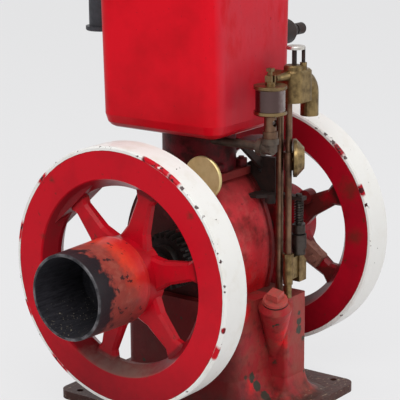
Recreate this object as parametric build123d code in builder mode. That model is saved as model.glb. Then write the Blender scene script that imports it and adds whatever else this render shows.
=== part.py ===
"""Stationary gas engine: vertical, hopper cooled, two flywheels and a belt pulley.

Millimetres, Z up, origin at the middle of the underside of the base.
The crankshaft lies along X, the belt pulley is at -X and the brass fittings face -Y.
"""

import math
import os

from build123d import *

os.makedirs("parts", exist_ok=True)

# Crankshaft line and running gear
crank_height = 252.0
shaft_radius = 16.0
shaft_near_end = -262.0
shaft_far_end = 238.0
shaft_chamfer = 1.5
running_clearance = 0.05
moving_gap = 5.0
wheel_radius = 203.2
wheel_width = 54.0
wheel_offset = 201.3
rim_depth = 49.2
rim_swell = 15.0
rim_flat = 8.0
rim_chamfer = 2.5
hub_radius = 38.0
hub_disc_radius = 63.0
hub_disc_back = 10.0
hub_outer = 27.0
hub_inner = 33.0
spoke_count = 6
spoke_root = 6.0
spoke_hub_width = 54.0
spoke_hub_depth = 22.0
spoke_neck_reach = 80.0
spoke_neck_width = 36.0
spoke_neck_depth = 20.0
spoke_end_reach = 126.0
spoke_end_width = 28.0
spoke_end_depth = 17.0
spoke_rim_width = 46.0
spoke_rim_depth = 18.0
spoke_chamfer = 4.5
weight_chord = 136.5
weight_front = 16.0
weight_back = 25.0
near_phase = 47.5
far_phase = 33.0
lump_reach = 86.0
lump_side = 17.0
lump_radius = 12.0
lump_depth = 20.0
pulley_length = 115.0
pulley_hub_radius = 68.0
pulley_mouth_radius = 65.5
pulley_shoulder = 5.0
pulley_lip = 1.2
pulley_wall = 4.5
pulley_web = 10.0
pulley_boss = 12.0
pulley_boss_length = 20.0
gear_teeth = 24
gear_module = 3.5
gear_width = 24.0
gear_hub = 27.0
gear_hub_length = 12.0
pad_reach = 83.0
pad_side = 7.0
pad_length = 58.0
pad_width = 26.0
pad_thickness = 8.0
pad_corner = 3.0

# Base casting
foot_width = 317.2
foot_depth = 377.6
foot_thickness = 14.0
foot_corner = 20.0
foot_hole_radius = 5.5
foot_hole_x = 142.0
foot_hole_y = 155.0
body_width = 155.0
body_depth = 216.0
body_top = 184.0
body_corner = 16.0
cove_radius = 48.0
cove_steps = (0.0, 0.05, 0.18, 0.42, 1.0)
post_width = 57.0
post_front = 141.0
post_top = 182.0
post_corner = 5.0
post_cove = 34.0
boss_radius = 27.0
boss_point = 9.0
boss_shoulder = 9.0
boss_neck_radius = 21.5
boss_face_x = -2.0
boss_face_y = -135.0
boss_root_x = 32.0
boss_root_y = -112.0
boss_root_level = 76.0
gasket_radius = 20.5
gasket = 3.0
plug_washer_radius = 19.5
plug_washer = 4.0
plug_square = 20.0
plug_head = 13.0
plug_chamfer = 1.0

# Crankcase
case_width = 120.0
case_top = 370.0
case_reach = 102.5
case_arc = 182.0
case_arc_drop = 6.5
case_bead = 3.0
case_bead_width = 8.0
case_bore = 20.0
cylinder_y = 14.0
flange_depth = 128.0
flange_width = 112.0
flange_thickness = 12.0
flange_corner = 6.0
bearing_flange_radius = 48.0
bearing_flange = 8.0
bearing_radius = 29.0
bearing_length = 20.0
bearing_chamfer = 2.0

# Cylinder, hopper, exhaust and igniter
neck_radius = 59.0
barrel_radius = 56.0
barrel_top = 640.0
head_radius = 66.0
head_thickness = 26.0
head_boss_radius = 22.0
head_boss_height = 26.0
head_chamfer = 3.0
hopper_bottom = 450.0
hopper_height = 254.0
hopper_half_x = 103.5
hopper_half_y = 114.5
hopper_y = 20.0
hopper_corner = 26.0
hopper_round = 22.0
hopper_wall = 7.0
hopper_draft = 1.0
lip_reach = 5.0
lip_height = 14.0
lip_chamfer = 3.0
disc_radius = 34.5
disc_thickness = 5.0
disc_gap = 6.0
disc_y = -44.0
disc_level = 384.0
disc_boss_radius = 7.5
disc_chamfer = 1.5
muffler_x = -40.0
muffler_y = 177.0
muffler_radius = 21.0
muffler_cap_radius = 26.5
muffler_cap = 7.0
muffler_bottom = 594.0
muffler_length = 160.0
muffler_chamfer = 1.5
exhaust_level = 650.0
exhaust_radius = 13.5
exhaust_flange = 46.0
exhaust_flange_corner = 5.0
exhaust_gap = 6.0
igniter_y = -62.0
igniter_level = 590.0
igniter_radius = 20.0
igniter_length = 31.0
igniter_cone = 24.0
igniter_neck = 8.0
igniter_knob = 9.5
igniter_knob_length = 20.0

# Drip oiler
oiler_x = -28.0
oiler_y = -142.0
oiler_line = 436.0
oiler_pipe_radius = 6.85
elbow_radius = 11.0
elbow_collar = 13.5
elbow_collar_width = 9.0
sight_radius = 9.5
sight_nut = 11.5
sight_nut_height = 11.0
sight_window = 5.5
sight_turn = 37.0
sight_top = 488.0
cup_radius = 23.0
cup_flange_radius = 25.5
cup_flange = 6.0
cup_height = 39.0
cup_chamfer = 1.5
lid_neck_radius = 8.0
lid_height = 11.0
stem_width = 12.0
stem_height = 10.0
lever_slot = 5.0
lever_width = 4.6
lever_length = 11.0
lever_hook = 9.0
lever_hook_height = 5.0

# Mixer
front_y = -136.0
mixer_x = 43.0
mixer_radius = 18.0
mixer_stretch = 20.0
mixer_bottom = 496.0
mixer_top = 546.0
mixer_chamfer = 3.0
inlet_radius = 15.0
spout_x = 90.0
spout_radius = 14.5
spout_bore = 11.0
spout_bend = 25.0
spout_sides = 20
spout_steps = 6
spout_level = 529.0
spout_mouth = 468.0
nose_x = -6.0
nose_level = 539.0
nose_tip = 4.5
nose_root = 8.5
cap_radius = 14.8
cap_height = 8.0
cap_chamfer = 2.5
plate_x = 50.0
plate_radius = 15.0
plate_thickness = 5.0
plate_level = 578.0
pillar_radius = 3.8
stop_x = 58.0
stop_y = -145.0
stop_radius = 2.9
stop_sleeve_radius = 5.5
stop_sleeve_height = 14.0

# Fuel pump, tubes and dish
feed_x = 32.0
feed_radius = 5.25
return_x = 34.0
return_y = -118.0
return_radius = 6.0
pump_x = 62.0
pump_bottom = 204.0
pump_top = 247.0
pump_column_radius = 7.8
pump_nipple_radius = 6.2
pump_block_width = 20.0
pump_block_depth = 17.0
pump_block_cut = 10.0
pump_bridge_depth = 12.0
pump_bridge_drop = 8.0
pump_nut_radius = 9.0
pump_nut_height = 7.0
barrel_radius_pump = 12.5
barrel_foot_radius = 11.0
barrel_foot = 10.0
barrel_height = 33.0
barrel_floor = 6.0
plunger_radius = 5.0
plunger_insert = 20.0
rod_clearance = 0.5
plunger_lift = 8.0
knuckle_radius = 10.5
knuckle_height = 14.0
knuckle_gap = 2.0
ear_reach = 9.0
ear_radius = 5.5
spring_wire = 1.6
spring_radius = 7.9
spring_coils = 9
spring_sides = 12
bracket_level = 336.0
bracket_thickness = 6.0
bracket_width = 14.0
bracket_nose = 10.0
bracket_boss_radius = 9.0
bracket_boss_height = 15.0
bracket_boss_y = -90.0
bracket_inset = 1.0
rod_proud = 4.0
coupling_bottom = 390.0
coupling_radius = 7.2
coupling_ring_radius = 8.2
coupling_body = 19.0
coupling_ring = 10.0
dish_radius = 30.0
dish_rim = 5.0
dish_offset = 7.0
dish_depth = 12.0
dish_face_radius = 17.0
dish_neck_radius = 5.0

# Governor ironwork on the far side of the crankcase
governor_thickness = 10.0
governor_back = -34.0
governor_front = -92.0
governor_bottom = 332.0
governor_top = 398.0
governor_slot_y = -62.0
governor_slot_level = 378.0
governor_slot_width = 6.0
governor_slot_height = 12.0
arm_y = -60.0
arm_thickness = 7.0
arm_width = 9.0
arm_tip_x = -4.0
arm_tip_level = 438.0
arm_root_level = 386.0

crank_axis = Axis((0, 0, crank_height), (1, 0, 0))
BASE_UP = (Align.CENTER, Align.CENTER, Align.MIN)


def case_half(level, extra=0.0):
    """Half the crankcase depth at a height, measured from the cylinder axis."""
    drop = level - (crank_height - case_arc_drop)
    arc = case_arc + extra
    return case_reach - case_arc + math.sqrt(arc * arc - drop * drop)


def case_slice(plane, extra):
    """The crankcase outline across the shaft, on a plane."""
    with BuildSketch(plane) as outline:
        with BuildLine():
            front = ThreePointArc(
                (cylinder_y - case_half(body_top, extra), body_top),
                (cylinder_y - case_half(crank_height, extra), crank_height),
                (cylinder_y - case_half(case_top, extra), case_top),
            )
            back = ThreePointArc(
                (cylinder_y + case_half(body_top, extra), body_top),
                (cylinder_y + case_half(crank_height, extra), crank_height),
                (cylinder_y + case_half(case_top, extra), case_top),
            )
            Line(front @ 0, back @ 0)
            Line(front @ 1, back @ 1)
        make_face()
    return outline.sketch


def upright(x, y, bottom, radius, height):
    """A standing cylinder in the part being built."""
    with Locations((x, y, bottom)):
        Cylinder(radius, height, align=BASE_UP)


def cove_flare(radius, rise):
    """How far a cove of this radius stands out at a height above its foot."""
    return radius - math.sqrt(radius**2 - (radius - rise) ** 2)


def cove_taper(radius, low, high):
    """Angle of one straight step of a cove, in degrees."""
    drop = cove_flare(radius, radius * low) - cove_flare(radius, radius * high)
    return math.degrees(math.atan2(drop, radius * (high - low)))


def rounds(maker):
    """The round edges of a part being built."""
    return maker.edges().filter_by(GeomType.CIRCLE)


# Base: foot plate, pedestal with a cove all round, pump post and filler boss
post_x = (body_width - post_width) / 2
post_depth = post_front - body_depth / 2 + body_corner
filler_face = Vector(boss_face_x, boss_face_y, post_top)
filler_root = Vector(boss_root_x, boss_root_y, boss_root_level)
filler_axis = (filler_face - filler_root).normalized()
boss_length = (filler_face - filler_root).length
with BuildPart() as base:
    with BuildSketch():
        RectangleRounded(foot_width, foot_depth, foot_corner)
    extrude(amount=foot_thickness)
    for low, high in zip(cove_steps, cove_steps[1:]):
        flare = cove_flare(cove_radius, cove_radius * low)
        with BuildSketch(Plane.XY.offset(foot_thickness + cove_radius * low)):
            RectangleRounded(body_width + 2 * flare, body_depth + 2 * flare, body_corner + flare)
        extrude(amount=cove_radius * (high - low), taper=cove_taper(cove_radius, low, high))
    with BuildSketch(Plane.XY.offset(foot_thickness + cove_radius)):
        RectangleRounded(body_width, body_depth, body_corner)
    extrude(amount=body_top - foot_thickness - cove_radius)
    for low, high in zip(cove_steps, cove_steps[1:]):
        flare = cove_flare(post_cove, post_cove * low)
        with BuildSketch(Plane.XY.offset(foot_thickness + post_cove * low)):
            with Locations((post_x, post_depth / 2 - post_front)):
                RectangleRounded(post_width + 2 * flare, post_depth + 2 * flare, post_corner + flare)
        extrude(amount=post_cove * (high - low), taper=cove_taper(post_cove, low, high))
    with BuildSketch(Plane.XY.offset(foot_thickness + post_cove)):
        with Locations((post_x, post_depth / 2 - post_front)):
            RectangleRounded(post_width, post_depth, post_corner)
    extrude(amount=post_top - foot_thickness - post_cove)
    with Locations(Plane(origin=filler_root, z_dir=filler_axis)):
        Cone(boss_point, boss_radius, boss_length - boss_shoulder, align=BASE_UP)
        with Locations((0, 0, boss_length - boss_shoulder)):
            Cone(boss_radius, boss_neck_radius, boss_shoulder, align=BASE_UP)
    with GridLocations(2 * foot_hole_x, 2 * foot_hole_y, 2, 2):
        Cylinder(foot_hole_radius, 4 * foot_thickness, mode=Mode.SUBTRACT)
base.part.label = "base"

# Filler plug: gasket, washer and square head on the boss
with BuildPart() as filler_plug:
    with Locations(Plane(origin=filler_face, z_dir=filler_axis)):
        Cylinder(gasket_radius, gasket, align=BASE_UP)
        with Locations((0, 0, gasket)):
            Cylinder(plug_washer_radius, plug_washer, align=BASE_UP)
        with Locations((0, 0, gasket + plug_washer)):
            Box(plug_square, plug_square, plug_head, align=BASE_UP)
    chamfer(filler_plug.edges().filter_by(GeomType.LINE).group_by(Axis.Z)[-1], plug_chamfer)
filler_plug.part.label = "filler_plug"

# Crankcase: barrel profile with a bead at each end and a flat top flange
with BuildPart() as crankcase:
    extrude(case_slice(Plane.YZ, 0.0), amount=case_width / 2, both=True)
    extrude(case_slice(Plane.YZ.offset(-case_width / 2), case_bead), amount=case_bead_width)
    extrude(case_slice(Plane.YZ.offset(case_width / 2), case_bead), amount=-case_bead_width)
    with BuildSketch(Plane.XY.offset(case_top)):
        with Locations((0, cylinder_y)):
            RectangleRounded(flange_width, flange_depth, flange_corner)
    extrude(amount=flange_thickness)
    with BuildSketch(Plane.YZ):
        with Locations((0, crank_height)):
            Circle(case_bore)
    extrude(amount=case_width, both=True, mode=Mode.SUBTRACT)
crankcase.part.label = "crankcase"
case_flange_top = case_top + flange_thickness

# Main bearings
with BuildPart() as bearing_form:
    with BuildSketch(Plane.YZ):
        Circle(bearing_flange_radius)
        Circle(shaft_radius + running_clearance, mode=Mode.SUBTRACT)
    extrude(amount=bearing_flange)
    with BuildSketch(Plane.YZ.offset(bearing_flange)):
        Circle(bearing_radius)
        Circle(shaft_radius + running_clearance, mode=Mode.SUBTRACT)
    extrude(amount=bearing_length - bearing_flange)
    chamfer(rounds(bearing_form).sort_by(Axis.X)[-2:].sort_by(SortBy.RADIUS)[-1], bearing_chamfer)

with BuildPart() as main_bearing_far:
    with Locations((case_width / 2, 0, crank_height)):
        add(bearing_form.part)
main_bearing_far.part.label = "main_bearing_far"

with BuildPart() as main_bearing_near:
    with Locations(Location((-case_width / 2, 0, crank_height), (0, 0, 180))):
        add(bearing_form.part)
main_bearing_near.part.label = "main_bearing_near"

# Crankshaft
with BuildPart() as crankshaft:
    with BuildSketch(Plane.YZ.offset(shaft_near_end)):
        with Locations((0, crank_height)):
            Circle(shaft_radius)
    extrude(amount=shaft_far_end - shaft_near_end)
    chamfer(rounds(crankshaft), shaft_chamfer)
crankshaft.part.label = "crankshaft"

# Flywheel form, centred, axis along X, first spoke straight up
rim_inner = wheel_radius - rim_depth
half_wheel = wheel_width / 2
with BuildPart() as spoke_form:
    for reach, width, depth in (
        (hub_disc_radius - spoke_root, spoke_hub_width, spoke_hub_depth),
        (spoke_neck_reach, spoke_neck_width, spoke_neck_depth),
        (spoke_end_reach, spoke_end_width, spoke_end_depth),
        (rim_inner - rim_swell + spoke_root, spoke_rim_width, spoke_rim_depth),
    ):
        with BuildSketch(Plane.XY.offset(reach)) as section:
            Rectangle(depth, width)
            chamfer(section.vertices(), spoke_chamfer)
    loft(ruled=True)

with BuildPart() as wheel_form:
    with BuildSketch(Plane.XZ):
        with BuildLine():
            Polyline(
                (-half_wheel, rim_inner),
                (-half_wheel, wheel_radius - rim_chamfer),
                (-half_wheel + rim_chamfer, wheel_radius),
                (half_wheel - rim_chamfer, wheel_radius),
                (half_wheel, wheel_radius - rim_chamfer),
                (half_wheel, rim_inner),
                (rim_flat / 2, rim_inner - rim_swell),
                (-rim_flat / 2, rim_inner - rim_swell),
                close=True,
            )
        make_face()
    revolve(axis=Axis.X)
    with BuildSketch(Plane.YZ.offset(-hub_outer)):
        Circle(hub_disc_radius)
    extrude(amount=hub_outer + hub_disc_back)
    with BuildSketch(Plane.YZ.offset(hub_disc_back)):
        Circle(hub_radius)
    extrude(amount=hub_inner - hub_disc_back)
    for spoke in range(spoke_count):
        add(spoke_form.part.rotate(Axis.X, spoke * 360 / spoke_count))
    with BuildSketch(Plane.YZ.offset(-weight_front)):
        Circle(rim_inner + spoke_root)
        with Locations((0, weight_chord)):
            Rectangle(
                2 * wheel_radius,
                2 * wheel_radius,
                align=(Align.CENTER, Align.MAX),
                mode=Mode.SUBTRACT,
            )
    extrude(amount=weight_front + weight_back)
    with BuildSketch(Plane.YZ.offset(-wheel_width)):
        Circle(shaft_radius)
    extrude(amount=2 * wheel_width, mode=Mode.SUBTRACT)

with BuildPart() as near_flywheel:
    with Locations(Location((-wheel_offset, 0, crank_height), (near_phase - 90, 0, 0))):
        add(wheel_form.part)
near_flywheel.part.label = "near_flywheel"

# The far wheel is the same casting turned round, with a lump cast beside one spoke
with BuildPart() as far_flywheel:
    with Locations(Location((wheel_offset, 0, crank_height), (far_phase - 90, 0, 0))):
        add(wheel_form.part.mirror(Plane.YZ))
    with Locations(Location((wheel_offset, 0, crank_height), (far_phase + 120, 0, 0))):
        with Locations(Location((0, lump_reach, -lump_side), (0, -90, 0))):
            Cylinder(lump_radius, lump_depth, align=BASE_UP)
far_flywheel.part.label = "far_flywheel"

# Belt pulley: hollow drum on the outer face of the near flywheel, open outward
pulley_face = -wheel_offset - hub_outer
pulley_mouth = pulley_face - pulley_length
pulley_inside = pulley_face - pulley_web
boss_outer = shaft_radius + pulley_boss
with BuildPart() as belt_pulley:
    with BuildSketch(Plane.XZ.offset(0)):
        with BuildLine():
            Polyline(
                (pulley_face, crank_height + shaft_radius),
                (pulley_face, crank_height + pulley_hub_radius - pulley_shoulder),
                (pulley_face - pulley_shoulder / 2, crank_height + pulley_hub_radius - pulley_shoulder / 4),
                (pulley_face - 2 * pulley_shoulder, crank_height + pulley_hub_radius),
                (pulley_mouth + pulley_lip, crank_height + pulley_mouth_radius),
                (pulley_mouth, crank_height + pulley_mouth_radius - pulley_lip),
                (pulley_mouth, crank_height + pulley_mouth_radius - pulley_wall),
                (pulley_inside, crank_height + pulley_hub_radius - 2 * pulley_wall),
                (pulley_inside, crank_height + boss_outer),
                (pulley_inside - pulley_boss_length, crank_height + boss_outer),
                (pulley_inside - pulley_boss_length, crank_height + shaft_radius),
                close=True,
            )
        make_face()
    revolve(axis=crank_axis)
belt_pulley.part.label = "belt_pulley"

# Crank gear beside the near bearing
gear_root = gear_module * (gear_teeth - 2.5) / 2
gear_x = -case_width / 2 - bearing_length - moving_gap
with BuildPart() as crank_gear:
    with BuildSketch(Plane.YZ.offset(gear_x)):
        with Locations((0, crank_height)):
            Circle(gear_root)
            with PolarLocations(gear_root, gear_teeth):
                Polygon(
                    (-gear_module, -gear_module),
                    (2.25 * gear_module, -0.4 * gear_module),
                    (2.25 * gear_module, 0.4 * gear_module),
                    (-gear_module, gear_module),
                    align=None,
                )
            Circle(shaft_radius, mode=Mode.SUBTRACT)
    extrude(amount=-gear_width)
    with BuildSketch(Plane.YZ.offset(gear_x - gear_width)):
        with Locations((0, crank_height)):
            Circle(gear_hub)
            Circle(shaft_radius, mode=Mode.SUBTRACT)
    extrude(amount=-gear_hub_length)
crank_gear.part.label = "crank_gear"

# Pad bolted on one spoke of the far flywheel
pad_seat = spoke_hub_depth / 2
with BuildPart() as spoke_pad:
    with BuildSketch(Plane.YZ.offset(wheel_offset - pad_seat - pad_thickness)) as pad_face:
        with Locations(Location((pad_reach, -pad_side, 0))):
            Rectangle(pad_length, pad_width)
        chamfer(pad_face.vertices(), pad_corner)
    extrude(amount=pad_thickness + pad_seat)
with BuildPart() as flywheel_pad:
    with Locations(Location((0, 0, crank_height), (far_phase + 180, 0, 0))):
        add(spoke_pad.part)
    add(far_flywheel.part, mode=Mode.SUBTRACT)
flywheel_pad.part.label = "flywheel_pad"

# Hopper: drafted, rounded box with an open mouth and a rolled lip
top_grow = hopper_height * math.tan(math.radians(hopper_draft))
with BuildPart() as hopper_outer:
    for low, high in zip(cove_steps, cove_steps[1:]):
        inset = cove_flare(hopper_round, hopper_round * low)
        with BuildSketch(Plane.XY.offset(hopper_bottom + hopper_round * low)):
            with Locations((0, hopper_y)):
                RectangleRounded(
                    2 * (hopper_half_x - inset),
                    2 * (hopper_half_y - inset),
                    hopper_corner - inset,
                )
        extrude(amount=hopper_round * (high - low), taper=-cove_taper(hopper_round, low, high))
    with BuildSketch(Plane.XY.offset(hopper_bottom + hopper_round)):
        with Locations((0, hopper_y)):
            RectangleRounded(2 * hopper_half_x, 2 * hopper_half_y, hopper_corner)
    extrude(amount=hopper_height - hopper_round, taper=-hopper_draft)

with BuildPart() as water_hopper:
    add(hopper_outer.part)
    with BuildSketch(Plane.XY.offset(hopper_bottom + hopper_height - lip_height)):
        with Locations((0, hopper_y)):
            RectangleRounded(
                2 * (hopper_half_x + top_grow + lip_reach),
                2 * (hopper_half_y + top_grow + lip_reach),
                hopper_corner + lip_reach,
            )
    extrude(amount=lip_height)
    chamfer(water_hopper.faces().sort_by(Axis.Z)[-1].edges(), lip_chamfer)
    with BuildSketch(Plane.XY.offset(hopper_bottom + hopper_wall)):
        with Locations((0, hopper_y)):
            RectangleRounded(
                2 * (hopper_half_x - hopper_wall),
                2 * (hopper_half_y - hopper_wall),
                hopper_corner - hopper_wall,
            )
    extrude(amount=hopper_height, taper=-hopper_draft, mode=Mode.SUBTRACT)
    with Locations((0, cylinder_y, hopper_bottom)):
        Cylinder(barrel_radius, 4 * hopper_wall, mode=Mode.SUBTRACT)
water_hopper.part.label = "water_hopper"

# Cylinder: neck and the barrel standing in the water
disc_plane = case_width / 2 + disc_gap
neck_height = hopper_bottom - case_flange_top
with BuildPart() as cylinder:
    upright(0, cylinder_y, case_flange_top, neck_radius, neck_height)
    upright(0, cylinder_y, case_flange_top, barrel_radius, barrel_top - case_flange_top)
    with BuildSketch(Plane.YZ.offset(-disc_plane)):
        with Locations((disc_y, disc_level + disc_boss_radius)):
            Circle(disc_boss_radius)
    extrude(amount=disc_plane - barrel_radius / 3)
cylinder.part.label = "cylinder"

with BuildPart() as cylinder_head:
    upright(0, cylinder_y, barrel_top, head_radius, head_thickness)
    upright(0, cylinder_y, barrel_top + head_thickness, head_boss_radius, head_boss_height)
    chamfer(rounds(cylinder_head).group_by(Axis.Z)[-1], head_chamfer)
    chamfer(rounds(cylinder_head).sort_by(SortBy.RADIUS)[-1], head_chamfer)
cylinder_head.part.label = "cylinder_head"

# Bare brass disc on the side of the neck
with BuildPart() as brass_disc:
    with BuildSketch(Plane.YZ.offset(-disc_plane)):
        with Locations((disc_y, disc_level)):
            Circle(disc_radius)
    extrude(amount=-disc_thickness)
    chamfer(rounds(brass_disc).sort_by(Axis.X)[0], disc_chamfer)
brass_disc.part.label = "brass_disc"

# Muffler behind the hopper, held by a short flanged pipe
muffler_top = muffler_bottom + muffler_length
with BuildPart() as muffler:
    upright(muffler_x, muffler_y, muffler_bottom, muffler_radius, muffler_length)
    upright(muffler_x, muffler_y, muffler_bottom, muffler_cap_radius, muffler_cap)
    upright(muffler_x, muffler_y, muffler_top - muffler_cap, muffler_cap_radius, muffler_cap)
    chamfer(rounds(muffler).group_by(Axis.Z)[0], muffler_chamfer)
    chamfer(rounds(muffler).group_by(Axis.Z)[-1], muffler_chamfer)
muffler.part.label = "muffler"

flange_back = muffler_y - muffler_radius - exhaust_gap
with BuildPart() as exhaust_pipe:
    with BuildSketch(Plane.XZ.offset(-muffler_y)):
        with Locations((muffler_x, exhaust_level)):
            Circle(exhaust_radius)
    extrude(amount=muffler_y - hopper_y)
    with BuildSketch(Plane.XZ.offset(-flange_back)):
        with Locations((muffler_x, exhaust_level)):
            RectangleRounded(exhaust_flange, exhaust_flange, exhaust_flange_corner)
    extrude(amount=flange_back - hopper_y)
    add(hopper_outer.part, mode=Mode.SUBTRACT)
    add(muffler.part, mode=Mode.SUBTRACT)
exhaust_pipe.part.label = "exhaust_pipe"

# Igniter plug at the far front corner of the hopper
with BuildPart() as igniter:
    with Locations(Location((hopper_half_x, igniter_y, igniter_level), (0, 90, 0))):
        Cylinder(igniter_radius, igniter_length, align=BASE_UP)
        with Locations((0, 0, igniter_length)):
            Cone(igniter_radius, igniter_neck, igniter_cone, align=BASE_UP)
        with Locations((0, 0, igniter_length + igniter_cone)):
            Cylinder(igniter_knob, igniter_knob_length, align=BASE_UP)
    add(hopper_outer.part, mode=Mode.SUBTRACT)
igniter.part.label = "igniter"

# Drip oiler: black pipe from the neck, elbow, sight feed, cup, lid and lever
collar_top = oiler_line + elbow_radius + elbow_collar_width / 2
with BuildPart() as oiler_pipe:
    with BuildSketch(Plane.XZ.offset(-cylinder_y)):
        with Locations((oiler_x, oiler_line)):
            Circle(oiler_pipe_radius)
    extrude(amount=cylinder_y - oiler_y)
    with BuildSketch(Plane.XZ.offset(-oiler_y - elbow_radius)):
        with Locations((oiler_x, oiler_line)):
            Circle(elbow_collar)
    extrude(amount=-elbow_collar_width)
    with BuildSketch(Plane.XZ.offset(-oiler_y - elbow_radius)):
        with Locations((oiler_x, oiler_line)):
            Circle(elbow_radius)
    extrude(amount=elbow_radius + elbow_radius / 2)
    upright(oiler_x, oiler_y, oiler_line - elbow_radius / 2, elbow_radius, collar_top - oiler_line)
    upright(oiler_x, oiler_y, collar_top - elbow_collar_width, elbow_collar, elbow_collar_width)
    with Locations((0, cylinder_y, case_flange_top)):
        Cylinder(neck_radius, neck_height, align=BASE_UP, mode=Mode.SUBTRACT)
oiler_pipe.part.label = "oiler_pipe"

window_level = (sight_top + collar_top + sight_nut_height) / 2
with BuildPart() as oiler_sight:
    upright(oiler_x, oiler_y, collar_top, sight_nut, sight_nut_height)
    upright(oiler_x, oiler_y, collar_top, sight_radius, sight_top - collar_top)
    with Locations((oiler_x, oiler_y, window_level)):
        Cylinder(sight_window, 4 * sight_radius, rotation=(90, 0, -sight_turn), mode=Mode.SUBTRACT)
oiler_sight.part.label = "oiler_sight"

with BuildPart() as oiler_cup:
    upright(oiler_x, oiler_y, sight_top, cup_flange_radius, cup_flange)
    upright(oiler_x, oiler_y, sight_top, cup_radius, cup_height)
    chamfer(rounds(oiler_cup).group_by(Axis.Z)[0], cup_chamfer)
oiler_cup.part.label = "oiler_cup"

lid_bottom = sight_top + cup_height
stem_bottom = lid_bottom + lid_height
with BuildPart() as oiler_lid:
    upright(oiler_x, oiler_y, lid_bottom, cup_flange_radius, cup_flange)
    upright(oiler_x, oiler_y, lid_bottom, lid_neck_radius, lid_height)
    chamfer(rounds(oiler_lid).group_by(Axis.Z)[0], cup_chamfer)
    with Locations((oiler_x, oiler_y, stem_bottom)):
        Box(stem_width, stem_width, stem_height, align=BASE_UP)
        Box(lever_slot, 2 * stem_width, stem_height, align=BASE_UP, mode=Mode.SUBTRACT)
oiler_lid.part.label = "oiler_lid"

lever_pivot = stem_bottom + stem_height / 2
with BuildPart() as oiler_lever:
    with Locations((oiler_x, oiler_y, lever_pivot)):
        Cylinder(lever_width / 2, lever_width, rotation=(0, 90, 0))
        Box(lever_width, lever_width, lever_length + lever_hook_height, align=BASE_UP)
        with Locations((0, 0, lever_length)):
            Box(lever_hook, lever_hook, lever_hook_height, align=BASE_UP)
oiler_lever.part.label = "oiler_lever"

# Mixer: flat-sided body with an inlet stub to the hopper, curved spout and capped top
bend_x = spout_x - spout_bend
bend_level = spout_level - spout_bend
with BuildPart() as mixer_body:
    with BuildSketch(Plane.XY.offset(mixer_bottom)):
        with Locations((mixer_x + mixer_stretch / 2, front_y)):
            SlotCenterToCenter(mixer_stretch, 2 * mixer_radius)
    extrude(amount=mixer_top - mixer_bottom)
    chamfer(mixer_body.faces().sort_by(Axis.Z)[-1].edges(), mixer_chamfer)
    with BuildSketch(Plane.XZ.offset(-front_y)):
        with Locations((mixer_x, spout_level)):
            Circle(inlet_radius)
    extrude(amount=front_y - hopper_y)
    with BuildSketch(Plane(origin=(mixer_x, front_y, spout_level), z_dir=(1, 0, 0), x_dir=(0, 1, 0))):
        RegularPolygon(spout_radius, spout_sides)
    for step in range(spout_steps + 1):
        turn = math.radians(90 * step / spout_steps)
        spot = (bend_x + spout_bend * math.sin(turn), front_y, bend_level + spout_bend * math.cos(turn))
        with BuildSketch(Plane(origin=spot, z_dir=(math.cos(turn), 0, -math.sin(turn)), x_dir=(0, 1, 0))):
            RegularPolygon(spout_radius, spout_sides)
    with BuildSketch(Plane(origin=(spout_x, front_y, spout_mouth), z_dir=(0, 0, -1), x_dir=(0, 1, 0))):
        RegularPolygon(spout_radius, spout_sides)
    loft(ruled=True)
    with Locations(Location((nose_x, front_y, nose_level), (0, 90, 0))):
        Cone(nose_tip, nose_root, mixer_x - nose_x, align=BASE_UP)
    upright(stop_x, stop_y, mixer_top - mixer_chamfer, stop_sleeve_radius, stop_sleeve_height)
    add(hopper_outer.part, mode=Mode.SUBTRACT)
    with Locations((spout_x, front_y, spout_mouth)):
        Cylinder(spout_bore, 2 * (bend_level - spout_mouth), mode=Mode.SUBTRACT)
mixer_body.part.label = "mixer_body"

with BuildPart() as mixer_cap:
    upright(mixer_x, front_y, mixer_top, cap_radius, cap_height)
    chamfer(rounds(mixer_cap).sort_by(Axis.Z)[-1], cap_chamfer)
    add(mixer_body.part, mode=Mode.SUBTRACT)
mixer_cap.part.label = "mixer_cap"

cap_top = mixer_top + cap_height
with BuildPart() as mixer_post:
    upright(plate_x - pillar_radius, front_y, cap_top, pillar_radius, plate_level - cap_top)
mixer_post.part.label = "mixer_post"

sleeve_top = mixer_top - mixer_chamfer + stop_sleeve_height
with BuildPart() as mixer_stop:
    upright(stop_x, stop_y, sleeve_top, stop_radius, plate_level - sleeve_top)
mixer_stop.part.label = "mixer_stop"

with BuildPart() as mixer_plate:
    upright(plate_x, front_y, plate_level, plate_radius, plate_thickness)
    chamfer(rounds(mixer_plate).sort_by(Axis.Z)[-1], disc_chamfer)
mixer_plate.part.label = "mixer_plate"

# Fuel pump: nipple, column, block, steel barrel, sprung plunger and bracket
nut_top = pump_top + pump_nut_height
with BuildPart() as pump_body:
    upright(feed_x, front_y, post_top, pump_nipple_radius, pump_bottom - post_top)
    upright(feed_x, front_y, pump_bottom, pump_column_radius, pump_top - pump_bottom)
    with BuildSketch(Plane.XZ.offset(-front_y)) as bridge:
        with Locations((feed_x, pump_bottom + pump_bridge_drop)):
            Rectangle(
                pump_x - feed_x,
                pump_top - pump_bottom - pump_bridge_drop,
                align=(Align.MIN, Align.MIN),
            )
    extrude(amount=pump_bridge_depth / 2, both=True)
    with BuildSketch(Plane.XZ.offset(-front_y)) as block:
        with Locations((pump_x, pump_bottom)):
            Rectangle(pump_block_width, pump_top - pump_bottom, align=(Align.CENTER, Align.MIN))
        chamfer(block.vertices().group_by(Axis.Z)[0].sort_by(Axis.X)[-1], pump_block_cut)
    extrude(amount=pump_block_depth / 2, both=True)
    with BuildSketch(Plane.XY.offset(pump_top)):
        with Locations((feed_x, front_y)):
            RegularPolygon(pump_nut_radius, 6)
    extrude(amount=pump_nut_height)
pump_body.part.label = "pump_body"

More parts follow.
